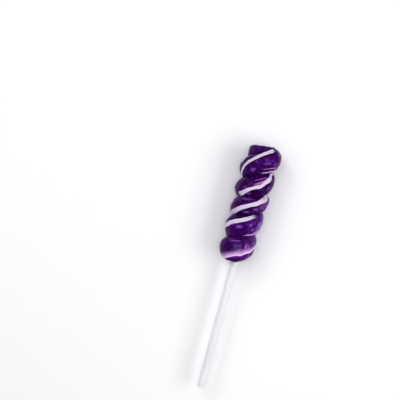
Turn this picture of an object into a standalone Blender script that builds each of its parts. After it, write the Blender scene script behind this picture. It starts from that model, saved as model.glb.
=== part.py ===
# Twisty lollipop: one rope of hard candy wound in a tight right-handed coil round a
# plastic tube, lying on its back. Metres, +Z up, the stick along Y, the candy at +Y.

import math

import bmesh
import bpy

MM = 0.001

# Stick: a hollow plastic tube, set deep in the candy.
STICK_DIAMETER = 4.0 * MM
STICK_BORE = 2.4 * MM
STICK_SHOWN = 69.1 * MM  # from its free end to the lowest point of the candy
STICK_SUNK = 38.0 * MM
STICK_EDGE = 0.2 * MM  # rounding of its rims
STICK_SIDES = 32
GAP = 0.3 * MM  # between stick and candy

# Candy: the coil starts at the right side, low down, and climbs five and a half turns
# to a flat cut top. Each row below is one turn: right, back, left, front. The candy
# was wound by hand, so no two turns are alike.
FIRST_TURN = -0.5  # turns are counted from the left side of the lowest turn
LAST_TURN = 5.5
EDGE_HEIGHT = (  # of the rope's lower edge, in mm above the candy's lowest point
    (6.4, 3.0, 0.8, 0.2),  # the free underside
    (6.4, 9.8, 12.2, 14.0),  # and from here on the grooves between turns
    (16.5, 20.3, 24.0, 26.1),
    (29.3, 31.8, 34.3, 35.5),
    (38.9, 41.6, 44.5, 47.7),
    (51.5, 53.9, 56.0, 61.1),
    (67.0, 71.0, 75.0, 79.0),  # past the cut top
)
EDGE_RADIUS = (  # of the same edge, in mm from the stick's axis
    (8.0, 6.4, 6.0, 5.6),
    (8.0, 7.2, 7.5, 7.0),
    (6.6, 7.0, 7.5, 7.1),
    (7.5, 7.1, 7.5, 7.0),
    (6.9, 7.0, 7.3, 7.0),
    (7.0, 7.1, 7.3, 6.9),
    (4.0, 4.5, 5.8, 5.5),  # where the side rounds over into the top
    (4.0, 4.5, 5.8, 5.5),
)
CREST_RADIUS = (  # of the rope's crest, in mm from the stick's axis
    (7.6, 9.0, 10.2, 9.7),
    (8.6, 9.6, 10.1, 9.7),
    (9.1, 9.6, 9.9, 9.7),
    (9.5, 9.6, 10.4, 9.8),
    (9.6, 9.6, 10.6, 10.0),
    (10.0, 9.5, 8.4, 7.9),
    (7.0, 7.0, 7.0, 7.0),
)
CREST_SHARE = (  # how far up its turn the crest lies
    (0.56, 0.56, 0.58, 0.57),
    (0.60, 0.58, 0.62, 0.64),
    (0.66, 0.54, 0.42, 0.52),
    (0.66, 0.56, 0.47, 0.52),
    (0.58, 0.56, 0.54, 0.54),
    (0.54, 0.55, 0.56, 0.56),
    (0.56, 0.56, 0.56, 0.56),
)
FULL_TURN_HEIGHT = 6.0 * MM  # a turn lower than this has a flatter crest
TOP_HEIGHT = 63.75 * MM  # of the cut top above the candy's lowest point
TOP_TILT = 0.55 * MM  # how much higher it is at the right side, and lower at the left
TOP_DIP = 0.5 * MM
UNDERSIDE_HEIGHT = 0.8 * MM  # where the stick goes in
GROOVE_OPENING = 1.15  # 1 makes a crease with parallel walls, more opens it
TOP_EDGE_SQUARENESS = 3.0  # exponent of the rounding at the cut end, 2 being an ellipse
STEPS_PER_TURN = 48
STEPS_PER_ARC = 5  # from an edge to the crest
CAP_RINGS = 2
FLAT_DEPTH = 0.45 * MM  # taken off the crests that the candy lies on
LYING_RADIUS = 9.6 * MM  # of those crests

AXIS_HEIGHT = LYING_RADIUS - FLAT_DEPTH
CUTTER_MARGIN = 5.0 * MM
SAME_POINT = 0.01 * MM  # closer points than this are one


def plain_material(name, colour, roughness):
    material = bpy.data.materials.new(name)
    material.use_nodes = True
    shader = material.node_tree.nodes["Principled BSDF"]
    shader.inputs["Base Color"].default_value = (*colour, 1.0)
    shader.inputs["Roughness"].default_value = roughness
    shader.inputs["Metallic"].default_value = 0.0
    return material


def purple_hard_candy():
    return plain_material("purple_hard_candy", (0.045, 0.006, 0.095), 0.12)


def white_stick_plastic():
    return plain_material("white_stick_plastic", (0.83, 0.83, 0.85), 0.35)


def new_object(name, shape, material, parent):
    mesh = bpy.data.meshes.new(name)
    shape.to_mesh(mesh)
    shape.free()
    made = bpy.data.objects.new(name, mesh)
    bpy.context.scene.collection.objects.link(made)
    made.parent = parent
    if material:
        mesh.materials.append(material)
    return made


def cut_away(target, cutter):
    cutter.hide_render = True
    cutter.display_type = "WIRE"
    modifier = target.modifiers.new("cut " + cutter.name, "BOOLEAN")
    modifier.operation = "DIFFERENCE"
    modifier.object = cutter


def smooth_between(low, high, value):
    share = min(max((value - low) / (high - low), 0.0), 1.0)
    return share * share * (3.0 - 2.0 * share)


def at_turn(table, turn):
    """The table's value there, on a smooth curve through its quarter turns."""
    values = [value for row in table for value in row]
    place = (turn - FIRST_TURN) * 4.0
    index = int(math.floor(place + 1e-9))
    share = place - index
    last = len(values) - 1
    before, here, after, beyond = (
        values[min(max(i, 0), last)] for i in range(index - 1, index + 3)
    )
    rise = (after - before) / 2.0
    next_rise = (beyond - here) / 2.0
    cubic = 2.0 * (here - after) + rise + next_rise
    square = 3.0 * (after - here) - 2.0 * rise - next_rise
    return here + share * (rise + share * (square + share * cubic))


def edge_of(turn):
    """Radius and height of the rope's lower edge, which is the upper edge one turn back."""
    top = TOP_HEIGHT - TOP_TILT * math.cos(2.0 * math.pi * turn)
    return at_turn(EDGE_RADIUS, turn) * MM, min(at_turn(EDGE_HEIGHT, turn) * MM, top)


def arc(edge, crest, opening, squareness):
    """Points from an edge to the crest, along part of an ellipse, without the crest."""
    (edge_radius, edge_height), (crest_radius, crest_height) = edge, crest
    widest = math.asin(opening ** (-squareness / 2.0))
    rounding = 2.0 / squareness
    deep = (crest_radius - edge_radius) / (1.0 - math.cos(widest) ** rounding)
    long = (edge_height - crest_height) * opening
    points = []
    for step in range(STEPS_PER_ARC):
        angle = widest * (1.0 - step / STEPS_PER_ARC)
        inward = deep * (1.0 - abs(math.cos(angle)) ** rounding)
        points.append((crest_radius - inward, crest_height + long * math.sin(angle) ** rounding))
    return points


def rope_side(turn):
    """Radius and height of the points across one turn of rope, from edge to edge."""
    lower = edge_of(turn)
    upper = edge_of(turn + 1.0)
    height = upper[1] - lower[1]
    outer = max(lower[0], upper[0])
    proud = max(at_turn(CREST_RADIUS, turn) * MM - outer, 0.0)
    crest = (
        outer + proud * smooth_between(0.0, FULL_TURN_HEIGHT, height),
        lower[1] + at_turn(CREST_SHARE, turn) * height,
    )
    lower_opening = 1.0 + (GROOVE_OPENING - 1.0) * smooth_between(0.1, 0.6, turn)
    upper_opening = 1.0 + (GROOVE_OPENING - 1.0) * (1.0 - smooth_between(4.2, 4.5, turn))
    squareness = 2.0 + (TOP_EDGE_SQUARENESS - 2.0) * smooth_between(4.75, 5.0, turn)
    below = arc(lower, crest, lower_opening, 2.0)
    above = arc(upper, crest, upper_opening, squareness)
    return below + [crest] + above[::-1]


def placed(radius, height, turn):
    """A point round the stick: turn 0 is the left side, a quarter turn the front, which faces up."""
    angle = 2.0 * math.pi * turn
    return (
        -radius * math.cos(angle),
        STICK_SHOWN + height,
        AXIS_HEIGHT + radius * math.sin(angle),
    )


def close_end(shape, loop, loop_points, centre_height):
    """Rings from a loop of edge points in to one point on the axis."""
    outer = loop
    for ring in range(1, CAP_RINGS):
        share = 1.0 - ring / CAP_RINGS
        inner = []
        for radius, height, turn in loop_points:
            lift = centre_height + (height - centre_height) * share * share
            inner.append(shape.verts.new(placed(radius * share, lift, turn)))
        for i in range(len(loop)):
            after = (i + 1) % len(loop)
            shape.faces.new((outer[i], outer[after], inner[after], inner[i]))
        outer = inner
    centre = shape.verts.new(placed(0.0, centre_height, 0.0))
    for i in range(len(loop)):
        shape.faces.new((outer[i], outer[(i + 1) % len(loop)], centre))


def wound_candy():
    """The coil's skin as one spiral grid: each turn's upper edge is the next turn's lower edge."""
    shape = bmesh.new()
    steps = round((LAST_TURN - FIRST_TURN) * STEPS_PER_TURN)
    across = 2 * STEPS_PER_ARC
    turns = [FIRST_TURN + step / STEPS_PER_TURN for step in range(steps + 1)]
    sides = [rope_side(turn) for turn in turns]
    # Both ends of the rope run out to a single point, which the neighbouring turn shares.
    first_end = shape.verts.new(placed(*sides[0][0], turns[0]))
    last_end = shape.verts.new(placed(*sides[-1][0], turns[-1]))
    rows = []
    for step, (turn, side) in enumerate(zip(turns, sides)):
        if step == 0:
            rows.append([first_end] * across)
        elif step == STEPS_PER_TURN:
            rows.append([first_end] + [shape.verts.new(placed(*point, turn)) for point in side[1:-1]])
        elif step == steps:
            rows.append([last_end] * across)
        else:
            rows.append([shape.verts.new(placed(*point, turn)) for point in side[:-1]])
    top_loop = [last_end]
    for step in range(steps - STEPS_PER_TURN + 1, steps):
        top_loop.append(shape.verts.new(placed(*sides[step][-1], turns[step])))
    for step in range(steps + 1):
        above = step + STEPS_PER_TURN
        if above <= steps:
            rows[step].append(rows[above][0])
        else:
            rows[step].append(top_loop[(above - steps) % STEPS_PER_TURN])
    for step in range(steps):
        for i in range(across):
            corners = (rows[step][i], rows[step + 1][i], rows[step + 1][i + 1], rows[step][i + 1])
            different = list(dict.fromkeys(corners))
            if len(different) > 2:
                shape.faces.new(different)
    underside = [(*sides[step][0], turns[step]) for step in range(STEPS_PER_TURN)]
    close_end(shape, [rows[step][0] for step in range(STEPS_PER_TURN)], underside, UNDERSIDE_HEIGHT)
    first_top = steps - STEPS_PER_TURN
    top = [(*sides[step][-1], turns[step]) for step in range(first_top, steps)]
    close_end(shape, top_loop, top, TOP_HEIGHT - TOP_DIP)
    bmesh.ops.remove_doubles(shape, verts=shape.verts, dist=SAME_POINT)
    bmesh.ops.triangulate(shape, faces=shape.faces)
    bmesh.ops.recalc_face_normals(shape, faces=shape.faces)
    return shape


def floor_cutter(parent):
    """A block under the floor, which takes a little off each crest that the candy lies on."""
    shape = bmesh.new()
    bmesh.ops.create_cube(shape, size=1.0)
    wide = 2.0 * (LYING_RADIUS + CUTTER_MARGIN)
    long = TOP_HEIGHT + 2.0 * CUTTER_MARGIN
    bmesh.ops.scale(shape, vec=(wide, long, CUTTER_MARGIN), verts=shape.verts)
    middle = (0.0, STICK_SHOWN + TOP_HEIGHT / 2.0, -CUTTER_MARGIN / 2.0)
    bmesh.ops.translate(shape, vec=middle, verts=shape.verts)
    return new_object("floor_cutter", shape, None, parent)


def turned(profile, sides, closed):
    """A profile of radius and place along Y, turned round the stick's axis."""
    shape = bmesh.new()
    verts = [shape.verts.new((radius, place, AXIS_HEIGHT)) for radius, place in profile]
    pairs = list(zip(verts, verts[1:]))
    if closed:
        pairs.append((verts[-1], verts[0]))
    edges = [shape.edges.new(pair) for pair in pairs]
    bmesh.ops.spin(
        shape,
        geom=verts + edges,
        cent=(0.0, 0.0, AXIS_HEIGHT),
        axis=(0.0, 1.0, 0.0),
        angle=2.0 * math.pi,
        steps=sides,
        use_merge=True,
    )
    bmesh.ops.remove_doubles(shape, verts=shape.verts, dist=1e-6)
    bmesh.ops.recalc_face_normals(shape, faces=shape.faces)
    return shape


def stick_hole_cutter(parent):
    """The blind hole that the stick sits in, with a gap all round it."""
    radius = STICK_DIAMETER / 2.0 + GAP
    start = STICK_SHOWN - CUTTER_MARGIN
    end = STICK_SHOWN + STICK_SUNK + GAP
    profile = ((0.0, start), (radius, start), (radius, end), (0.0, end))
    return new_object("stick_hole_cutter", turned(profile, STICK_SIDES, False), None, parent)


def make_candy(parent):
    candy = new_object("candy", wound_candy(), purple_hard_candy(), parent)
    cut_away(candy, floor_cutter(parent))
    cut_away(candy, stick_hole_cutter(parent))
    candy.data.shade_smooth()
    return candy


def make_stick(parent):
    outer = STICK_DIAMETER / 2.0
    inner = STICK_BORE / 2.0
    end = STICK_SHOWN + STICK_SUNK
    profile = ((outer, 0.0), (outer, end), (inner, end), (inner, 0.0))
    stick = new_object("stick", turned(profile, STICK_SIDES, True), white_stick_plastic(), parent)
    rims = stick.modifiers.new("eased rims", "BEVEL")
    rims.width = STICK_EDGE
    rims.segments = 2
    rims.limit_method = "ANGLE"
    rims.angle_limit = math.radians(40.0)
    stick.data.shade_smooth()
    stick.data.set_sharp_from_angle(angle=math.radians(50.0))
    return stick


def centre_on_origin(parent, pieces):
    """Puts the origin under the middle of the whole."""
    corners = [vertex.co for piece in pieces for vertex in piece.data.vertices]
    parent.location.x = -(min(c.x for c in corners) + max(c.x for c in corners)) / 2.0
    parent.location.y = -(min(c.y for c in corners) + max(c.y for c in corners)) / 2.0


def main():
    for old in list(bpy.data.objects):
        bpy.data.objects.remove(old, do_unlink=True)
    lollipop = bpy.data.objects.new("lollipop", None)
    bpy.context.scene.collection.objects.link(lollipop)
    candy = make_candy(lollipop)
    stick = make_stick(lollipop)
    centre_on_origin(lollipop, (candy, stick))


main()
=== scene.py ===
import math

import bpy
import numpy as np
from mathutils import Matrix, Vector, noise


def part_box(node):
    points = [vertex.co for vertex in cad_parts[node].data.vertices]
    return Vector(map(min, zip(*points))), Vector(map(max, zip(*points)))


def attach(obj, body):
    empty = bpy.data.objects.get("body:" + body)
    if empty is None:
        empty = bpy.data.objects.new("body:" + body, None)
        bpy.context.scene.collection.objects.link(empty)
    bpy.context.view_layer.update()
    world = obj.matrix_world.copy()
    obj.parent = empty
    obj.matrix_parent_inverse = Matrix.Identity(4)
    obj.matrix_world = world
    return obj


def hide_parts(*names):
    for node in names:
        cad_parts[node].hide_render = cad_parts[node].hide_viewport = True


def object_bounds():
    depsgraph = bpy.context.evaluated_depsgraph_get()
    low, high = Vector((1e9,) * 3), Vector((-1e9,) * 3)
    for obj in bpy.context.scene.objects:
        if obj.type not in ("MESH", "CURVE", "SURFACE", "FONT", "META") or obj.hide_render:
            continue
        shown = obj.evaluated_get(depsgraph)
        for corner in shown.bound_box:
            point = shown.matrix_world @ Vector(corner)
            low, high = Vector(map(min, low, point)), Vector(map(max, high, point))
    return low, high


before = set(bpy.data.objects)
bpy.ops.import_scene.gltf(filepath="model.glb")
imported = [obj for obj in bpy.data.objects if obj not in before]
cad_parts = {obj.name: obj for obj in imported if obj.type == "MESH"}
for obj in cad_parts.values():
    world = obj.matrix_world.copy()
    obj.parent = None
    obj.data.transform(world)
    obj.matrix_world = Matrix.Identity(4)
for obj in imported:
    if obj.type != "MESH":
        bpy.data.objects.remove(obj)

mm = 0.001
cadLow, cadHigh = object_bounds()
candyLow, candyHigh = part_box("candy")
stickLow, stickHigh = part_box("stick")
axisX = (stickLow.x + stickHigh.x) / 2  # the stick runs along Y, candy at +Y
axisZ = (stickLow.z + stickHigh.z) / 2
stickRadius = (stickHigh.x - stickLow.x) / 2
stickShown = 69.1 * mm  # from its free end to the candy's lowest point
baseY = stickLow.y + stickShown  # heights of the candy count from here
wholeLength, candyLength = cadHigh.y - cadLow.y, candyHigh.y - candyLow.y
print("frame loaded,", round(wholeLength / mm), "mm long, candy", round(candyLength / mm), "mm")


# small helpers

def selectNothing():
    if bpy.context.object and bpy.context.object.mode != "OBJECT":
        bpy.ops.object.mode_set(mode="OBJECT")
    bpy.ops.object.select_all(action="DESELECT")


def pickOnly(piece):
    selectNothing()
    piece.select_set(True)
    bpy.context.view_layer.objects.active = piece


def editOnly(piece, wanted):
    # into edit mode with just the points for which wanted(point) is true
    pickOnly(piece)
    bpy.ops.object.mode_set(mode="EDIT")
    bpy.ops.mesh.select_mode(type="VERT")
    bpy.ops.mesh.select_all(action="DESELECT")
    bpy.ops.object.mode_set(mode="OBJECT")
    for point in piece.data.vertices:
        point.select = wanted(point)
    bpy.ops.object.mode_set(mode="EDIT")


def editAll(piece):
    editOnly(piece, lambda point: True)


def editDone():
    bpy.ops.object.mode_set(mode="OBJECT")


def namedPiece(name):
    piece = bpy.context.object
    piece.name = name
    piece.data.name = name
    return piece


def applyPlace(piece):
    pickOnly(piece)
    bpy.ops.object.transform_apply(location=True, rotation=True, scale=True)


def applyModifier(piece, kind, **settings):
    modifier = piece.modifiers.new(kind.lower(), kind)
    for key, value in settings.items():
        setattr(modifier, key, value)
    pickOnly(piece)
    bpy.ops.object.modifier_apply(modifier=modifier.name)


def easeBetween(low, high, value):
    share = np.clip((value - low) / (high - low), 0, 1)
    return share * share * (3 - 2 * share)


def hexColour(text):
    # sRGB hex to linear
    parts = [int(text[i:i + 2], 16) / 255 for i in (1, 3, 5)]
    linear = [p / 12.92 if p <= 0.04045 else ((p + 0.055) / 1.055) ** 2.4 for p in parts]
    return (*linear, 1)


# camera first: it looks straight down

shot = {
    "lens": 100,  # mm
    "sensor": 36,  # mm
    "viewWidth": 213.3 * mm,  # across the picture, at the stick's height
    "turn": 15.154,  # degrees that the picture is turned against the stick
    "aimX": -26.4 * mm,  # picture middle from the stick's axis
    "aimY": 96.2 * mm,  # and from its free end
}


def makeCamera():
    distance = shot["viewWidth"] * shot["lens"] / shot["sensor"]
    place = (axisX + shot["aimX"], stickLow.y + shot["aimY"], axisZ + distance)
    bpy.ops.object.camera_add(location=place, rotation=(0, 0, math.radians(shot["turn"])))
    camera = bpy.context.object
    camera.name = "overheadCamera"
    camera.data.lens = shot["lens"]
    camera.data.sensor_width = shot["sensor"]
    camera.data.clip_start = 0.01
    bpy.context.scene.camera = camera


makeCamera()
print("camera placed")


# the candy: one rope wound round the stick, its turns fused where they touch

twist = {
    "turns": 6,
    "firstTurn": -0.5,  # counted from the left side of the lowest turn
    "stepsPerTurn": 48,
    "profilePoints": 13,  # from groove to groove
    "profileRadius": 6.35 * mm,
    "profileMiddle": 3.25 * mm,  # from the stick's axis
    "profileHalfArc": 60,  # degrees
    "mergeWithin": 0.02 * mm,
    "smoothAngle": 45,  # degrees
    # a line in these lists is one turn: right, back, left, front
    "edgeHeights": (  # of the rope's lower edge, mm above the candy's lowest point
        6.4, 3.0, 0.8, 0.2,  # free underside
        6.4, 9.8, 12.2, 14.0,  # grooves from here on
        16.5, 20.3, 24.0, 26.1,
        29.3, 31.8, 34.3, 35.5,
        38.9, 41.6, 44.5, 47.7,
        51.5, 53.9, 56.0, 61.1,
        67.0, 71.0, 75.0, 79.0,  # past the cut top
    ),
    "edgeRadii": (  # of the same edge, mm from the stick's axis
        8.0, 6.4, 5.3, 5.6,
        8.0, 7.2, 7.5, 7.0,
        6.6, 7.0, 7.5, 7.1,
        7.5, 7.1, 7.5, 7.0,
        6.9, 7.0, 7.3, 7.0,
        7.0, 7.1, 7.3, 6.9,
        4.0, 4.5, 5.8, 5.5,  # where the side rounds over into the top
        4.0, 4.5, 5.8, 5.5,
    ),
    "crestRadii": (  # of the rope's crest
        7.6, 9.0, 10.2, 9.7,
        8.6, 9.6, 10.1, 9.7,
        9.1, 9.6, 9.9, 9.7,
        9.5, 9.6, 10.4, 9.8,
        9.6, 9.6, 10.6, 10.0,
        10.0, 9.5, 8.4, 7.9,
        7.0, 7.0, 7.0, 7.0,
    ),
    "crestShares": (  # how far up its turn the crest lies
        0.56, 0.56, 0.58, 0.57,
        0.60, 0.58, 0.62, 0.64,
        0.66, 0.54, 0.42, 0.52,
        0.66, 0.56, 0.47, 0.52,
        0.58, 0.56, 0.54, 0.54,
        0.54, 0.55, 0.56, 0.56,
        0.56, 0.56, 0.56, 0.56,
    ),
    "fullHeight": 6 * mm,  # a turn lower than this has a flatter crest
    "grooveOpening": 1.15,  # 1 would make a crease with parallel walls
    "openingStarts": (0.1, 0.6),  # turns between which the rope's lower side opens
    "openingStops": (4.2, 4.5),  # and its upper side stops doing so
    "topSquareness": 3.0,
    "topSquares": (4.75, 5),  # turns between which the side squares off into the top
    "topHeight": 63.6 * mm,
    "topTilt": 0.7 * mm,  # higher at the right
    "topDip": 0.5 * mm,
    "undersideHeight": 0.8 * mm,
    "undersideHole": 0.9,  # share of the stick's radius
    "undersideLip": -0.4 * mm,
    "lipReach": 0.3,  # share of the edge's radius
    "capRings": (0.82, 0.62, 0.42, 0.2),  # shares of the edge's radius
    "grooveCrease": 0.75,
    "lumpSize": 4.5 * mm,
    "lumpDepth": 0.16 * mm,
    "rippleSize": 1.8 * mm,
    "rippleDepth": 0.2 * mm,
    "ridgeDepth": 0.12 * mm,  # along the pull
    "creaseDepth": 0.12 * mm,  # across it
    "creasePatch": 7 * mm,  # size of the patches that have creases
    "creasePatchEdge": (0.0, 0.35),  # levels of their noise between which they fade in
    "ridgesAround": 9,
    "ridgesPerTurn": 3.1,
    "creasesAround": 1.5,
    "creasesPerTurn": 42,
    # shifts that keep the four noises apart
    "rippleShift": 9.1,
    "ridgeShift": 7.7,
    "creaseShift": 3.3,
    "patchShift": 4.4,
}


def alongRope(values, turn, perTurn=4):
    # smooth curve through values that are spaced evenly along the rope
    values = np.array(values)
    place = (np.asarray(turn) - twist["firstTurn"]) * perTurn
    index = np.floor(place + 1e-9).astype(int)
    share = place - index
    a, b, c, d = (values[np.clip(index + i, 0, len(values) - 1)] for i in (-1, 0, 1, 2))
    rise, nextRise = (c - a) / 2, (d - b) / 2
    cubic = 2 * (b - c) + rise + nextRise
    square = 3 * (c - b) - 2 * rise - nextRise
    return b + share * (rise + share * (square + share * cubic))


def ropeEdge(turn):
    # radius and height of the rope's lower edge there
    top = twist["topHeight"] - twist["topTilt"] * np.cos(2 * np.pi * turn)
    height = np.minimum(alongRope(twist["edgeHeights"], turn) * mm, top)
    return alongRope(twist["edgeRadii"], turn) * mm, height


def ropeSide(turn, across):
    # radius and height on the rope's outer side: across is -1 at its lower edge, 1 at its upper
    lowerRadius, lowerHeight = ropeEdge(turn)
    upperRadius, upperHeight = ropeEdge(turn + 1)
    tall = upperHeight - lowerHeight
    widest = np.maximum(lowerRadius, upperRadius)
    proud = np.maximum(alongRope(twist["crestRadii"], turn) * mm - widest, 0)
    crestRadius = widest + proud * easeBetween(0, twist["fullHeight"], tall)
    crestHeight = lowerHeight + alongRope(twist["crestShares"], turn) * tall
    below = across < 0
    extra = twist["grooveOpening"] - 1
    lowerOpening = 1 + extra * easeBetween(*twist["openingStarts"], turn)
    upperOpening = 1 + extra * (1 - easeBetween(*twist["openingStops"], turn))
    opening = np.where(below, lowerOpening, upperOpening)
    squarer = (twist["topSquareness"] - 2) * easeBetween(*twist["topSquares"], turn)
    squareness = np.where(below, 2, 2 + squarer)
    edgeRadius = np.where(below, lowerRadius, upperRadius)
    edgeHeight = np.where(below, lowerHeight, upperHeight)
    steepest = np.arcsin(opening ** (-squareness / 2))
    power = 2 / squareness
    angle = steepest * np.abs(across)
    deep = (crestRadius - edgeRadius) / (1 - np.cos(steepest) ** power)
    inward = deep * (1 - np.abs(np.cos(angle)) ** power)
    up = (edgeHeight - crestHeight) * opening * np.sin(angle) ** power
    return crestRadius - inward, crestHeight + up


def roundStick(radius, height, turn):
    # turn 0 is the left side, a quarter turn the front, which faces up
    angle = 2 * np.pi * turn
    x = axisX - radius * np.cos(angle)
    z = axisZ + radius * np.sin(angle)
    return np.stack((x, baseY + height, z), axis=-1)


def getPoints(piece):
    flat = np.empty(len(piece.data.vertices) * 3)
    piece.data.vertices.foreach_get("co", flat)
    return flat.reshape(-1, 3)


def setPoints(piece, points):
    piece.data.vertices.foreach_set("co", np.asarray(points).ravel())
    piece.data.update()


def getMap(piece, name):
    flat = np.empty(len(piece.data.loops) * 2, np.float32)
    piece.data.uv_layers[name].uv.foreach_get("vector", flat)
    return flat.reshape(-1, 2).astype(float).T


def addMap(piece, name, first, second):
    piece.data.uv_layers.new(name=name)
    both = np.stack((first, second), axis=-1).astype(np.float32)
    piece.data.uv_layers[name].uv.foreach_set("vector", both.ravel())


def cornerPoints(piece):
    # the point that each face corner sits on
    indices = np.empty(len(piece.data.loops), int)
    piece.data.loops.foreach_get("vertex_index", indices)
    return indices


def screwedProfile():
    # an arc from groove to groove, screwed up the stick into an even twist
    points = twist["profilePoints"]
    halfArc = math.radians(twist["profileHalfArc"])
    whole = round(2 * math.pi / (2 * halfArc) * (points - 1))
    radius = twist["profileRadius"]
    selectNothing()
    bpy.ops.mesh.primitive_circle_add(
        vertices=whole,
        radius=radius,
        location=(axisX + twist["profileMiddle"], baseY, axisZ),
        rotation=(0, 0, -math.pi / 2 - halfArc),
    )
    piece = namedPiece("candyTwist")
    applyPlace(piece)
    editOnly(piece, lambda point: point.index >= points)
    bpy.ops.mesh.delete(type="VERT")
    editAll(piece)
    bpy.ops.transform.translate(value=(-axisX, -baseY, -axisZ))
    editDone()
    piece.location = (axisX, baseY, axisZ)
    applyModifier(
        piece,
        "SCREW",
        axis="Y",
        steps=twist["stepsPerTurn"],
        render_steps=twist["stepsPerTurn"],
        iterations=twist["turns"],
        screw_offset=2 * radius * math.sin(halfArc),
        use_smooth_shade=True,
    )
    applyPlace(piece)
    return piece


def windTurns(piece):
    # each point of the even twist goes to its place on the hand-wound one
    index = np.arange(len(piece.data.vertices))
    step, point = np.divmod(index, twist["profilePoints"])
    turn = twist["firstTurn"] + step / twist["stepsPerTurn"]
    across = 2 * point / (twist["profilePoints"] - 1) - 1
    setPoints(piece, roundStick(*ropeSide(turn, across), turn))
    corners = cornerPoints(piece)
    addMap(piece, "place", turn[corners], across[corners])
    lastGroove = twist["firstTurn"] + twist["turns"] - 1
    inGroove = (across < -0.999) & (turn > 0.499) | (across > 0.999) & (turn < lastGroove + 0.001)
    group = piece.vertex_groups.new(name="groove")
    group.add(index[inGroove].tolist(), 1, "REPLACE")
    editAll(piece)
    bpy.ops.mesh.remove_doubles(threshold=twist["mergeWithin"])
    editDone()
    editOnly(piece, lambda point: len(point.groups) > 0)
    bpy.ops.transform.edge_crease(value=twist["grooveCrease"])
    editDone()


def aroundAxis(point):
    # radius from the stick's axis, and direction
    out = Vector((point.x - axisX, 0, point.z - axisZ))
    return out.length, out.normalized()


def closeEnd(piece, atTop, centreHeight, innerRadius, lip):
    # rings from the open edge in towards the stick, then a last face
    editAll(piece)
    bpy.ops.mesh.select_all(action="DESELECT")
    bpy.ops.mesh.select_non_manifold(extend=False, use_wire=False)
    editDone()
    middle = baseY + twist["topHeight"] / 2
    loop = [p.index for p in piece.data.vertices if p.select and (p.co.y > middle) == atTop]
    editOnly(piece, lambda point: point.index in loop)
    before = 1
    for share in twist["capRings"]:
        bpy.ops.mesh.extrude_region_move()
        editDone()
        for point in piece.data.vertices:
            if point.select:
                radius, out = aroundAxis(point.co)
                radius = innerRadius + (radius - innerRadius) * share / before
                height = point.co.y - baseY - centreHeight
                height = centreHeight + height * (share / before) ** 2
                height += lip * max(1 - share / twist["lipReach"], 0) ** 2
                point.co = Vector((axisX, baseY + height, axisZ)) + out * radius
        bpy.ops.object.mode_set(mode="EDIT")
        before = share
    bpy.ops.mesh.edge_face_add()
    editDone()


def noiseAt(places):
    return np.array([noise.noise(Vector(place)) for place in places])


def addRelief(piece):
    # lumps from the winding, ridges that run with the pulled sugar, creases across it
    turnAtCorner, acrossAtCorner = getMap(piece, "place")
    corners = cornerPoints(piece)
    points = getPoints(piece)
    turn, across = np.zeros((2, len(points)))
    turn[corners], across[corners] = turnAtCorner, acrossAtCorner
    phase = stripePhase(turn, across)
    still = np.zeros(len(points))
    lumps = noiseAt(points / twist["lumpSize"])
    ripples = noiseAt(points / twist["rippleSize"] + twist["rippleShift"])
    around, along = phase * twist["ridgesAround"], turn * twist["ridgesPerTurn"]
    ridges = noiseAt(np.stack((around, along, still + twist["ridgeShift"]), axis=-1))
    around, along = phase * twist["creasesAround"], turn * twist["creasesPerTurn"]
    creases = noiseAt(np.stack((around, along, still + twist["creaseShift"]), axis=-1))
    patches = noiseAt(points / twist["creasePatch"] + twist["patchShift"])
    creased = easeBetween(*twist["creasePatchEdge"], patches)
    open = 1 - np.minimum(np.abs(across), 1) ** 6  # nothing in the grooves
    depth = twist["lumpDepth"] * lumps + twist["rippleDepth"] * ripples
    depth += open * (twist["ridgeDepth"] * ridges + twist["creaseDepth"] * creases * creased)
    normals = np.array([point.normal for point in piece.data.vertices])
    setPoints(piece, points + normals * depth[:, None])


def lieDown(piece):
    # small flats where the lowest crests rest
    editOnly(piece, lambda point: point.co.z < 0)
    bpy.ops.transform.resize(value=(1, 1, 0), center_override=(0, 0, 0))
    editDone()


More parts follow.
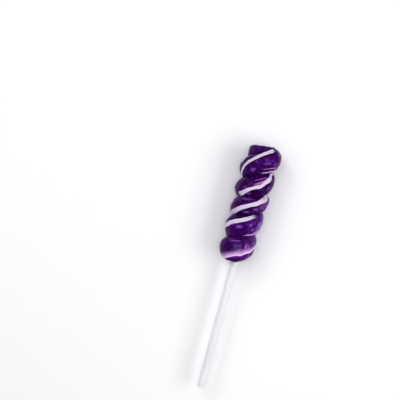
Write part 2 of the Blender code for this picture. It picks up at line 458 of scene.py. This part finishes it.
stripes = {
    "count": 3,  # round the rope
    "grooveAngle": 60.4,  # degrees from the crest round to the groove, on the rope's section
    "mapScale": 100,  # degrees that the UV map holds as 1
    "perTurn": 8,  # a line in these lists is one turn, from its right side round the back
    "twistAngles": (  # degrees that the rope has turned on itself
        -190, -152, -118, -82, -50, -36.5, -22.5, -16,
        -9, 12, 44, 76, 103, 119, 146.5, 171,
        193, 220, 247, 275, 303, 330.5, 363.5, 393,
        422, 450, 480, 510, 537, 560.5, 594.5, 621,
        667, 702, 735, 765, 790, 841.5, 881, 886,
        892, 912, 940, 970, 1000, 1030, 1060, 1090,
        1120, 1150, 1180, 1210, 1240, 1270, 1300, 1330,
    ),
    "halfWidths": (  # degrees, of the white
        7, 7, 7, 6, 4.5, 4, 3.5, 4,
        5, 7, 9, 8, 8, 11.5, 16, 14,
        11, 9, 9, 11, 17, 16.5, 13, 20,
        14, 11, 9, 9, 10, 14, 8, 15,
        12, 9, 9, 9, 9.5, 10, 12, 9,
        8, 8, 8, 8, 8, 8, 8, 8,
        8, 8, 8, 8, 8, 8, 8, 8,
    ),
    "bleeds": (  # how much pink runs off it, upwards
        0.3, 0.3, 0.3, 0.4, 0.5, 1.0, 1.0, 1.0,
        0.8, 0.3, 0.1, 0.1, 0.1, 0.0, 0.0, 0.0,
        0.0, 0.2, 0.3, 0.2, 0.1, 0.1, 0.1, 0.2,
        0.3, 0.3, 0.2, 0.1, 0.0, 0.0, 0.2, 0.4,
        0.4, 0.2, 0.2, 0.1, 0.1, 0.1, 0.0, 0.0,
        0.0, 0.2, 0.3, 0.2, 0.0, 0.0, 0.0, 0.0,
        0.0, 0.0, 0.0, 0.0, 0.0, 0.0, 0.0, 0.0,
    ),
    "paintedSideLight": (  # painted side light: how much paler the purple is, most on the right side of each turn, where the light falls
        0.2, 0.3, 0.2, 0.1, 0.0, 0.1, 0.1, 0.5,
        0.5, 0.4, 0.2, 0.3, 0.3, 0.1, 0.1, 0.5,
        0.9, 0.4, 0.2, 0.3, 0.4, 0.1, 0.1, 0.1,
        0.7, 0.4, 0.2, 0.2, 0.3, 0.1, 0.0, 0.0,
        0.2, 0.3, 0.2, 0.1, 0.1, 0.1, 0.1, 0.0,
        0.0, 0.2, 0.3, 0.2, 0.1, 0.3, 0.2, 0.1,
        0.1, 0.1, 0.1, 0.1, 0.1, 0.1, 0.1, 0.1,
    ),
    # places where the rope was pushed as it set: turn, degrees, reach in turns
    "kinks": (
        (4.125, 1.5, 0.03), (4.265, -1.2, 0.03),
        (3.13, -1.8, 0.02), (3.205, 2.3, 0.03), (3.29, -5.5, 0.022),
        (3.352, 7.5, 0.027), (3.425, 20, 0.035),
        (2.1, -2, 0.02), (2.17, 4.5, 0.045), (2.25, 2.5, 0.035), (2.303, -2, 0.02), (2.36, 3.5, 0.025),
        (1.135, 3.5, 0.035), (1.305, 6, 0.045),
        (0.1, -3, 0.04), (0.205, 1, 0.03), (0.285, -4.5, 0.027), (0.38, -3, 0.03),
    ),
    "endFade": 1.5 * mm,  # how far they run on over the ends
    "milkCloudAndHighlightEdge": (0.4, 1.3),  # shares of a cloud's size between which it fades
    # turns between which a stripe sinks into the purple, and comes back up
    "breaks": (
        (-3, -2, -0.3, -0.1), (1.285, 1.36, 1.46, 1.6),
        (2.97, 3.0, 3.065, 3.11), (4.33, 4.375, 4.5, 4.62), (4.86, 4.98, 9, 10),
    ),
    # single strands, a few of them painted light and shade (a window reflection and a highlight on the
    # lowest turn, shade along a stripe's lower side): from and to (turn, degrees from the crest), half their
    # width, strength at either end, colour
    "threads": (
        ((4.25, -30), (4.43, -26), 3.0, (0.7, 1.3), "pinkish"),
        ((4.25, -49), (4.46, -42), 5.0, (0.7, 1.5), "pink"),
        ((3.21, 24), (3.345, 42), 2.6, (1.1, 1.1), "pinkish"),
        ((3.215, 2), (3.37, 32), 7.5, (0.9, 0.9), "pinkish"),
        ((1.24, -52), (1.45, -37), 4.4, (0.6, 1.3), "pink"),
        ((1.33, -44), (1.5, -26), 8, (0.5, 1.5), "pinkish"),
        # painted shade along the lower side of the stripe here
        ((1.1, -17), (1.3, 25), 4.5, (0.7, 0.8), "greyStrandAndShade"),
        ((2.36, 38), (2.46, 58), 9.0, (0.6, 0.7), "greyStrandAndShade"),
        ((2.35, 8), (2.46, 34), 8, (0.9, 0.9), "greyStrandAndShade"),
        ((0.15, -38), (0.33, -28), 5, (0.6, 0.9), "magenta"),
        # painted highlight, a streak along the top of the lowest turn
        ((0.13, 29), (0.25, 35), 4.5, (0.7, 0.7), "lilacStrandAndHighlight"),
        # painted reflection of a window, on the lowest turn
        ((0.185, 4), (0.272, 12), 14, (0.6, 0.85), "paintedWindowReflection"),
        ((2.6, 30), (2.95, 12), 2.0, (0.8, 0.8), "pink"),
        ((3.7, -30), (4.02, -12), 2.2, (0.8, 0.8), "lilacStrandAndHighlight"),
        ((1.62, 22), (1.9, 44), 1.8, (0.7, 0.7), "pink"),
        ((0.55, 20), (0.86, 34), 2.4, (0.8, 0.8), "lilacStrandAndHighlight"),
        ((4.66, 10), (4.92, 30), 2.2, (0.8, 0.8), "pink"),
    ),
    # milky clouds in the sugar, and painted highlights and window reflections laid the same way: turn,
    # degrees from the crest, half its length in turns, half its breadth in degrees, strength
    "blotches": (
        # painted: the two bands near turn 0.3 are a window's reflection, and most patches between turns 1.2
        # and 4.4 are highlights
        (0.308, 6, 0.014, 18, 1.2), (0.338, 8, 0.012, 15, 1.1),
        (0.4, 18, 0.05, 14, 0.45), (2.2, 45, 0.07, 12, 0.8),
        (0.2, 33, 0.06, 4, 0.5), (0.3, -5, 0.05, 5, 0.4),
        (1.2, -15, 0.035, 6, 0.9), (1.3, -7, 0.015, 6, 1.1), (1.33, -23, 0.015, 6, 1.0),
        (1.41, -14, 0.05, 26, 0.9), (1.27, -4, 0.015, 4, 0.5),
        (2.23, -38, 0.035, 6, 1.1), (2.37, -8, 0.04, 16, 0.6), (2.31, -22, 0.03, 8, 0.8),
        (3.2, -36, 0.035, 6, 0.7), (3.38, -12, 0.02, 10, 0.5), (3.165, -9, 0.03, 8, 0.6),
        (4.185, -29, 0.026, 9, 0.85), (4.2, 1, 0.01, 3, 0.7), (4.3, -8, 0.04, 3, 0.8),
        (4.29, 6, 0.02, 3, 0.6), (4.28, 14, 0.03, 6, 0.25), (4.37, -12, 0.02, 8, 0.5),
        (0.62, 10, 0.04, 12, 0.6), (0.8, -20, 0.03, 8, 0.6), (1.7, -10, 0.05, 10, 0.6),
        (2.72, 14, 0.03, 9, 0.6), (3.6, 6, 0.04, 14, 0.6), (3.85, -24, 0.03, 7, 0.6),
        (4.7, -12, 0.04, 12, 0.6), (4.15, 40, 0.06, 6, 0.4),
    ),
}


def stripePhase(turn, across):
    # whole at the middle of each white stripe
    angle = across * stripes["grooveAngle"]
    twisted = alongRope(stripes["twistAngles"], turn, stripes["perTurn"])
    for middle, pushed, reach in stripes["kinks"]:
        twisted = twisted + pushed * np.exp(-(((turn - middle) / reach) ** 2))
    return (angle - twisted) * stripes["count"] / 360


def mapStripes(piece):
    # UV maps for the material: the twist itself, and how wide and strong the stripes are
    turn, across = getMap(piece, "place")
    radius = np.hypot(*(getPoints(piece)[cornerPoints(piece)][:, (0, 2)] - (axisX, axisZ)).T)
    rim = np.minimum(ropeEdge(turn)[0], ropeEdge(turn + 1)[0])
    onEnds = easeBetween(0, stripes["endFade"], rim - radius)
    strength = 1 - onEnds
    for sinks, sunk, rises, risen in stripes["breaks"]:
        strength = strength * (1 - easeBetween(sinks, sunk, turn) + easeBetween(rises, risen, turn))
    widths, bleeds, paintedSideLight = (
        alongRope(stripes[key], turn, stripes["perTurn"]) for key in ("halfWidths", "bleeds", "paintedSideLight")
    )
    addMap(piece, "twist", stripePhase(turn, across), turn)
    addMap(piece, "stripes", widths / stripes["mapScale"], strength)
    # its second channel is painted side light
    addMap(piece, "bleed", bleeds, paintedSideLight)
    # milky clouds together with painted highlights and reflections, strongest at their middles
    blotches = np.zeros(len(turn))
    angle = across * stripes["grooveAngle"]
    for middle, degrees, halfLength, halfBreadth, amount in stripes["blotches"]:
        off = np.hypot((turn - middle) / halfLength, (angle - degrees) / halfBreadth)
        blotches = np.maximum(blotches, amount * (1 - easeBetween(*stripes["milkCloudAndHighlightEdge"], off)))
    addMap(piece, "blotches", blotches, onEnds)


candy = screwedProfile()
print("profile screwed,", len(candy.data.vertices), "points")
windTurns(candy)
holeRadius = twist["undersideHole"] * stickRadius
closeEnd(candy, False, twist["undersideHeight"], holeRadius, twist["undersideLip"])
closeEnd(candy, True, twist["topHeight"] - twist["topDip"], 0, 0)
applyModifier(candy, "SUBSURF", levels=2, render_levels=2, uv_smooth="NONE")
print("wound,", len(candy.data.vertices), "points")
addRelief(candy)
lieDown(candy)
mapStripes(candy)
editAll(candy)
bpy.ops.mesh.normals_make_consistent(inside=False)
editDone()
pickOnly(candy)
bpy.ops.object.shade_smooth_by_angle(angle=math.radians(twist["smoothAngle"]))
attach(candy, "root")
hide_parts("candy")
print("candy done")


# materials

def addNode(tree, kind, settings=None, **inputs):
    # a node with its settings; each input is a value or a socket to link from
    node = tree.nodes.new(kind)
    for key, value in (settings or {}).items():
        setattr(node, key, value)
    for key, value in inputs.items():
        socket = node.inputs[int(key[1:])] if key[0] == "i" and key[1:].isdigit() else node.inputs[key]
        if isinstance(value, bpy.types.NodeSocket):
            tree.links.new(value, socket)
        else:
            socket.default_value = value
    return node


def newMaterial(name):
    material = bpy.data.materials.new(name)
    material.use_nodes = True
    tree = material.node_tree
    return material, tree, tree.nodes["Principled BSDF"]


sugar = {
    "purple": "#460164",
    "deepPurple": "#290039",
    "brightPurple": "#6e2294",
    "redPurple": "#520646",
    "white": "#dad5da",
    "bluishWhite": "#ccc0d9",
    "pinkWhite": "#e5cbec",
    "pink": "#dcb4e6",
    "pinkish": "#c08ccd",
    "magenta": "#8c2ab0",
    # some colours here paint light too: highlights, a window reflection, paler purple on the lit sides,
    # shade along a stripe
    "lilacStrandAndHighlight": "#9a62b4",
    "greyStrandAndShade": "#8f7da8",
    "paintedSideLight": "#7a469c",
    "milkCloudAndHighlight": "#9468b6",
    "paintedWindowReflection": "#66568e",
    # strands of other purples, one over another: scale across and along the pull, detail
    # and shift of the noise, where in it they fade in, strength, colour
    "layers": (
        ((14.0, 2.6, 2.0, 5.0), (0.55, 0.8), 0.6, "brightPurple"),
        ((4.0, 12.0, 2.0, 41.0), (0.5, 0.7), 0.6, "redPurple"),
        ((7.0, 40.0, 3.0, 15.0), (0.54, 0.7), 0.75, "brightPurple"),
    ),
    # other patterns, with the same four numbers and levels
    "patterns": {
        "purples": ((5.0, 2.2, 3.0, 1.0), (0.35, 0.7)),
        "paintedSideLightNoise": ((4.0, 30.0, 3.0, 21.0), (0.36, 0.66)),
        "broken": ((9.0, 60.0, 2.0, 27.0), (0.35, 0.6)),
        "streaks": ((26.0, 5.0, 2.0, 31.0), (0.35, 0.65)),
        "pale": ((30.0, 2.0, 2.0, 4.0), (0.3, 0.75)),
    },
    # of three of them, the strength everywhere and what the pattern adds to it
    "strengths": {"paintedSideLightNoise": (0.35, 0.65), "broken": (0.3, 0.7), "streaks": (0.6, 0.6)},
    "wobbleNoise": (0.7, 9.0, 2.0, 3.0),
    "bleedNoise": (0.5, 7.0, 1.0, 9.0),
    "glossNoise": (6.0, 3.0, 3.0, 12.0),
    "fineNoise": (34.0, 4.0, 3.0, 17.0),
    "stripeEdge": (-1.4, 0.9),  # degrees over which the white fades out
    "wobble": 6.0,  # degrees, of a stripe's edges
    "bleedStart": (-3.0, 0.0),  # degrees over which the pink fades in at the edge
    "bleedEnd": -1.0,  # where it starts to fade out
    "bleedLeast": 2.0,  # how far it runs at the least
    "bleedReach": 36.0,  # and how much farther at the most
    "bleedStrength": 0.85,
    "pinkInWhite": 0.7,
    "threadWobble": 0.4,  # share of the stripes' own
    "threadEdge": (0.3, 1.3),  # shares of its half width
    "threadEnds": (0.3, 0.15),  # shares of its length over which it begins and stops
    "curdScale": 420.0,  # grain of the cut ends
    "curdDetail": 3.0,
    "curdLevels": (0.4, 0.64),
    "fineStrength": 0.4,
    "fineDepth": 0.08 * mm,
    "roughness": 0.1,
    "roughnessRange": (-0.04, 0.06),
    "ior": 1.36,
    "specular": 0.4,
    "gleam": "#d8a8ff",
}


def pulledSugar():
    # boiled sugar, pulled and wound hot: clear dark purple with opaque white strands
    # in it, wet-looking gloss, faint strands along the pull
    material, tree, shader = newMaterial("boiledSugarPulled")
    twistMap = addNode(tree, "ShaderNodeUVMap", {"uv_map": "twist"})
    stripeMap = addNode(tree, "ShaderNodeUVMap", {"uv_map": "stripes"})
    bleedMap = addNode(tree, "ShaderNodeUVMap", {"uv_map": "bleed"})
    milkCloudAndHighlightMap = addNode(tree, "ShaderNodeUVMap", {"uv_map": "blotches"})
    placeMap = addNode(tree, "ShaderNodeUVMap", {"uv_map": "place"})
    place = addNode(tree, "ShaderNodeSeparateXYZ", i0=twistMap.outputs[0])
    spot = addNode(tree, "ShaderNodeSeparateXYZ", i0=placeMap.outputs[0])
    look = addNode(tree, "ShaderNodeSeparateXYZ", i0=stripeMap.outputs[0])
    bleed = addNode(tree, "ShaderNodeSeparateXYZ", i0=bleedMap.outputs[0])
    milkCloudAndHighlight = addNode(tree, "ShaderNodeSeparateXYZ", i0=milkCloudAndHighlightMap.outputs[0])

    def maths(operation, *values, clamp=False):
        settings = {"operation": operation, "use_clamp": clamp}
        inputs = {"i" + str(index): value for index, value in enumerate(values)}
        return addNode(tree, "ShaderNodeMath", settings, **inputs).outputs[0]

    def strands(across, along, detail, shift=0.0):
        # noise stretched along the pull
        vector = addNode(
            tree,
            "ShaderNodeCombineXYZ",
            i0=maths("MULTIPLY", place.outputs[0], across),
            i1=maths("MULTIPLY", place.outputs[1], along),
            i2=shift,
        )
        node = addNode(tree, "ShaderNodeTexNoise", Vector=vector.outputs[0], Scale=1.0, Detail=detail)
        return node.outputs["Fac"]

    def step(value, low, high):
        settings = {"interpolation_type": "SMOOTHSTEP"}
        edges = {"From Min": low, "From Max": high}
        return addNode(tree, "ShaderNodeMapRange", settings, Value=value, **edges).outputs["Result"]

    def mix(share, first, second):
        settings = {"data_type": "RGBA"}
        return addNode(tree, "ShaderNodeMix", settings, i0=share, i6=first, i7=second).outputs[2]

    def sugarColour(name):
        return hexColour(sugar[name])

    def pattern(name):
        noiseSettings, levels = sugar["patterns"][name]
        return step(strands(*noiseSettings), *levels)

    def uneven(name):
        everywhere, added = sugar["strengths"][name]
        return maths("ADD", everywhere, maths("MULTIPLY", pattern(name), added))

    # degrees round the section from the nearest stripe's middle
    wobble = maths("SUBTRACT", strands(*sugar["wobbleNoise"]), 0.5)
    wobble = maths("MULTIPLY", wobble, sugar["wobble"])
    nearest = maths("SUBTRACT", maths("FRACT", maths("ADD", place.outputs[0], 0.5)), 0.5)
    angle = maths("ADD", maths("MULTIPLY", nearest, 360 / stripes["count"]), wobble)
    halfWidth = maths("MULTIPLY", look.outputs[0], stripes["mapScale"])
    away = maths("SUBTRACT", maths("ABSOLUTE", angle), halfWidth)
    core = maths("SUBTRACT", 1.0, step(away, *sugar["stripeEdge"]))
    white = maths("MULTIPLY", core, look.outputs[1])

    farthest = maths("MULTIPLY", bleed.outputs[0], sugar["bleedReach"])
    bleedReach = maths("MULTIPLY", strands(*sugar["bleedNoise"]), farthest)
    over = maths("SUBTRACT", angle, halfWidth)
    fadesTo = maths("ADD", sugar["bleedLeast"], bleedReach)
    beforeEnd = maths("SUBTRACT", 1.0, step(over, sugar["bleedEnd"], fadesTo))
    above = maths("MULTIPLY", step(over, *sugar["bleedStart"]), beforeEnd)
    pink = maths("MULTIPLY", above, maths("MULTIPLY", bleed.outputs[0], look.outputs[1]))

    streaks = uneven("streaks")

    def thread(start, end, halfThread, strengths):
        # a thin strand from one place to another, each as turn and degrees round the section
        slope = (end[1] - start[1]) / (end[0] - start[0])
        along = maths("SUBTRACT", spot.outputs[0], start[0])
        middle = maths("ADD", maths("MULTIPLY", along, slope), start[1])
        near = maths("SUBTRACT", maths("MULTIPLY", spot.outputs[1], stripes["grooveAngle"]), middle)
        near = maths("ABSOLUTE", maths("ADD", near, maths("MULTIPLY", wobble, sugar["threadWobble"])))
        inner, outer = (halfThread * share for share in sugar["threadEdge"])
        line = maths("SUBTRACT", 1.0, step(near, inner, outer))
        line = maths("MULTIPLY", line, streaks)
        length = end[0] - start[0]
        full, fading = sugar["threadEnds"]
        begins = step(spot.outputs[0], start[0], start[0] + full * length)
        stops = maths("SUBTRACT", 1.0, step(spot.outputs[0], end[0] - fading * length, end[0]))
        rise = (strengths[1] - strengths[0]) / length
        strength = maths("ADD", maths("MULTIPLY", along, rise), strengths[0])
        strength = maths("MULTIPLY", line, strength, clamp=True)
        return maths("MULTIPLY", strength, maths("MULTIPLY", begins, stops))

    body = mix(pattern("purples"), sugarColour("deepPurple"), sugarColour("purple"))
    for noiseSettings, levels, amount, colour in sugar["layers"]:
        layer = step(strands(*noiseSettings), *levels)
        body = mix(maths("MULTIPLY", layer, amount), body, sugarColour(colour))
    # painted side light: paler purple on the lit right sides, broken up by noise along the pull
    body = mix(maths("MULTIPLY", uneven("paintedSideLightNoise"), bleed.outputs[1], clamp=True), body, sugarColour("paintedSideLight"))
    # milky clouds, and painted highlights and reflections, in a paler lilac
    body = mix(maths("MULTIPLY", uneven("broken"), milkCloudAndHighlight.outputs[0], clamp=True), body, sugarColour("milkCloudAndHighlight"))
    whole = addNode(tree, "ShaderNodeTexCoord")
    curds = addNode(
        tree,
        "ShaderNodeTexNoise",
        Vector=whole.outputs["Object"],
        Scale=sugar["curdScale"],
        Detail=sugar["curdDetail"],
    )
    grain = step(curds.outputs["Fac"], *sugar["curdLevels"])
    cut = mix(grain, sugarColour("deepPurple"), sugarColour("purple"))
    body = mix(milkCloudAndHighlight.outputs[1], body, cut)
    # strands, among them a painted window reflection, a painted highlight and painted shade
    for start, end, halfThread, strengths, colour in stripes["threads"]:
        body = mix(thread(start, end, halfThread, strengths), body, sugarColour(colour))
    body = mix(maths("MULTIPLY", pink, sugar["bleedStrength"]), body, sugarColour("pink"))
    milky = mix(pattern("pale"), sugarColour("bluishWhite"), sugarColour("white"))
    pinkness = maths("MULTIPLY", bleed.outputs[0], sugar["pinkInWhite"])
    milky = mix(pinkness, milky, sugarColour("pinkWhite"))
    body = mix(white, body, milky)
    tree.links.new(body, shader.inputs["Base Color"])

    rough = addNode(
        tree,
        "ShaderNodeMapRange",
        Value=strands(*sugar["glossNoise"]),
        i3=sugar["roughness"] + sugar["roughnessRange"][0],
        i4=sugar["roughness"] + sugar["roughnessRange"][1],
    )
    tree.links.new(rough.outputs["Result"], shader.inputs["Roughness"])
    shader.inputs["IOR"].default_value = sugar["ior"]
    shader.inputs["Specular IOR Level"].default_value = sugar["specular"]
    shader.inputs["Specular Tint"].default_value = sugarColour("gleam")
    offTheEnds = maths("SUBTRACT", 1.0, milkCloudAndHighlight.outputs[1])
    fine = addNode(
        tree,
        "ShaderNodeBump",
        Height=maths("MULTIPLY", strands(*sugar["fineNoise"]), offTheEnds),
        Strength=sugar["fineStrength"],
        Distance=sugar["fineDepth"],
    )
    tree.links.new(fine.outputs["Normal"], shader.inputs["Normal"])
    return material


candy.data.materials.clear()
candy.data.materials.append(pulledSugar())


# the stick: an extruded tube, open at its free end

stick = {
    "sides": 64,
    "bore": 2.4 * mm,
    "rim": 0.2 * mm,
    "rimSteps": 4,
    "rimAngle": 50,  # degrees, sharper edges are rounded
    "smoothAngle": 40,  # degrees
    "solidEnd": 2 * mm,  # left at the far end of the bore
    "colour": "#eaeaed",
    # painted shade: the tube greyer over its last few millimetres
    "paintedEndShade": "#e4e4e7",
    "endFade": (1.6 * mm, 2.4 * mm),  # from the free end
    "lineScale": (2600.0, 60.0, 2600.0),  # faint lines along the tube
    "lineDetail": 2.0,
    "lineStrength": 0.3,
    "lineDepth": 0.02 * mm,
    "cloudScale": 160.0,  # faint mottling
    "cloudDetail": 2.0,
    "cloudTones": (0.95, 1.03),
    "roughness": 0.34,
    "milkiness": 0.7,
    "lightReach": 2.0 * mm,  # into the plastic
    "lightReachTint": (1.0, 0.9, 0.9),
}


def makeStick():
    length = stickHigh.y - stickLow.y
    selectNothing()
    bpy.ops.mesh.primitive_cylinder_add(
        vertices=stick["sides"],
        radius=stickRadius,
        depth=length,
        end_fill_type="NGON",
        location=(axisX, stickLow.y + length / 2, axisZ),
        rotation=(math.pi / 2, 0, 0),
    )
    tube = namedPiece("stickTube")
    applyPlace(tube)
    # the bore is pushed in from the free end, and stops short of the far one
    pickOnly(tube)
    bpy.ops.object.mode_set(mode="EDIT")
    bpy.ops.mesh.select_mode(type="FACE")
    bpy.ops.mesh.select_all(action="DESELECT")
    bpy.ops.object.mode_set(mode="OBJECT")
    for face in tube.data.polygons:
        face.select = face.normal.y < -0.9
    bpy.ops.object.mode_set(mode="EDIT")
    bpy.ops.mesh.inset(thickness=stickRadius - stick["bore"] / 2)
    bpy.ops.mesh.extrude_region_move(TRANSFORM_OT_translate={"value": (0, length - stick["solidEnd"], 0)})
    bpy.ops.object.mode_set(mode="OBJECT")
    applyModifier(
        tube,
        "BEVEL",
        width=stick["rim"],
        segments=stick["rimSteps"],
        limit_method="ANGLE",
        angle_limit=math.radians(stick["rimAngle"]),
    )
    editAll(tube)
    bpy.ops.mesh.normals_make_consistent(inside=False)
    editDone()
    pickOnly(tube)
    bpy.ops.object.shade_smooth_by_angle(angle=math.radians(stick["smoothAngle"]))
    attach(tube, "root")
    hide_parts("stick")
    return tube


def extrudedPolypropylene():
    # milky white tube, extruded smooth: soft sheen, faint lines along it, painted shade making it greyer at
    # the cut end
    material, tree, shader = newMaterial("polypropyleneTube")
    place = addNode(tree, "ShaderNodeTexCoord")
    split = addNode(tree, "ShaderNodeSeparateXYZ", i0=place.outputs["Object"])
    cutEnd = addNode(tree, "ShaderNodeMapRange", Value=split.outputs[1])
    cutEnd.inputs["From Min"].default_value = stickLow.y + stick["endFade"][0]
    cutEnd.inputs["From Max"].default_value = stickLow.y + stick["endFade"][1]
    stretched = addNode(
        tree, "ShaderNodeMapping", Vector=place.outputs["Object"], Scale=stick["lineScale"]
    )
    lines = addNode(tree, "ShaderNodeTexNoise", Vector=stretched.outputs[0], Scale=1.0)
    lines.inputs["Detail"].default_value = stick["lineDetail"]
    blotches = addNode(tree, "ShaderNodeTexNoise", Vector=place.outputs["Object"], Scale=stick["cloudScale"])
    blotches.inputs["Detail"].default_value = stick["cloudDetail"]
    # painted shade towards the free end
    tone = addNode(tree, "ShaderNodeMix", {"data_type": "RGBA"})
    tree.links.new(cutEnd.outputs["Result"], tone.inputs[0])
    tone.inputs[6].default_value = hexColour(stick["paintedEndShade"])
    tone.inputs[7].default_value = hexColour(stick["colour"])
    shade = addNode(tree, "ShaderNodeMapRange", Value=blotches.outputs["Fac"])
    shade.inputs["To Min"].default_value, shade.inputs["To Max"].default_value = stick["cloudTones"]
    toned = addNode(tree, "ShaderNodeVectorMath", {"operation": "SCALE"}, i0=tone.outputs[2])
    tree.links.new(shade.outputs["Result"], toned.inputs["Scale"])
    tree.links.new(toned.outputs[0], shader.inputs["Base Color"])
    shader.inputs["Roughness"].default_value = stick["roughness"]
    shader.inputs["Subsurface Weight"].default_value = stick["milkiness"]
    shader.inputs["Subsurface Radius"].default_value = stick["lightReachTint"]
    shader.inputs["Subsurface Scale"].default_value = stick["lightReach"]
    bump = addNode(
        tree, "ShaderNodeBump", Height=lines.outputs["Fac"], Strength=stick["lineStrength"]
    )
    bump.inputs["Distance"].default_value = stick["lineDepth"]
    tree.links.new(bump.outputs["Normal"], shader.inputs["Normal"])
    return material


tube = makeStick()
tube.data.materials.clear()
tube.data.materials.append(extrudedPolypropylene())
print("stick done")


# floor and light

room = {
    "floorSize": 1.6,
    "floorColour": "#f0f0f1",
    "tentBright": 0.4,  # white walls of a light tent, open and dark at the top
    "tentDark": 0.1,
    "tentEdge": (0.84, 0.96),  # sine of the elevation where the walls fade out
    "floorRoughness": 0.7,
    "aim": (0, 0.03, 0.01),
    # soft boxes: name, place, size, power, colour, whether it shows as a highlight
    "lights": (
        ("keyRight", (0.45, 0.04, 0.42), (0.45, 0.3), 1.07, "#ffffff", True),
        ("fillLeft", (-0.34, 0.3, 0.42), (0.16, 0.16), 0.35, "#ffffff", True),
        ("overheadSoft", (-0.2, 0.22, 0.62), (0.17, 0.13), 0.3, "#f6f6ff", True),
        ("topFill", (0, 0.03, 0.9), (0.5, 0.5), 1.75, "#ffffff", False),
        ("leftFill", (-0.45, 0.04, 0.42), (0.45, 0.3), 0.27, "#ffffff", False),
    ),
    "exposure": -0.1,
}


def makeFloor():
    selectNothing()
    bpy.ops.mesh.primitive_plane_add(size=room["floorSize"], location=(0, 0, 0))
    floor = namedPiece("paleFloor")
    applyPlace(floor)
    material, tree, shader = newMaterial("paintedBoardMatt")
    shader.inputs["Base Color"].default_value = hexColour(room["floorColour"])
    shader.inputs["Roughness"].default_value = room["floorRoughness"]
    floor.data.materials.append(material)


def softLight(name, place, size, power, colour, mirrored):
    selectNothing()
    direction = Vector(room["aim"]) - Vector(place)
    bpy.ops.object.light_add(type="AREA", location=place)
    light = bpy.context.object
    light.name = name
    light.rotation_euler = direction.to_track_quat("-Z", "Y").to_euler()
    light.data.shape = "RECTANGLE"
    light.data.size, light.data.size_y = size
    light.data.energy = power
    light.data.color = hexColour(colour)[:3]
    light.visible_camera = False
    light.visible_glossy = mirrored


def lightTent():
    world = bpy.data.worlds.new("lightTent")
    world.use_nodes = True
    tree = world.node_tree
    background = tree.nodes["Background"]
    background.inputs["Color"].default_value = (1, 1, 1, 1)
    direction = addNode(tree, "ShaderNodeTexCoord")
    split = addNode(tree, "ShaderNodeSeparateXYZ", i0=direction.outputs["Generated"])
    wall = addNode(
        tree, "ShaderNodeMapRange", {"interpolation_type": "SMOOTHSTEP"}, Value=split.outputs[2]
    )
    wall.inputs["From Min"].default_value, wall.inputs["From Max"].default_value = room["tentEdge"]
    wall.inputs["To Min"].default_value = room["tentBright"]
    wall.inputs["To Max"].default_value = room["tentDark"]
    tree.links.new(wall.outputs["Result"], background.inputs["Strength"])
    bpy.context.scene.world = world


makeFloor()
for softBox in room["lights"]:
    softLight(*softBox)
lightTent()
bpy.context.scene.view_settings.view_transform = "Standard"
bpy.context.scene.view_settings.look = "High Contrast"
bpy.context.scene.view_settings.exposure = room["exposure"]
print("floor and light done")
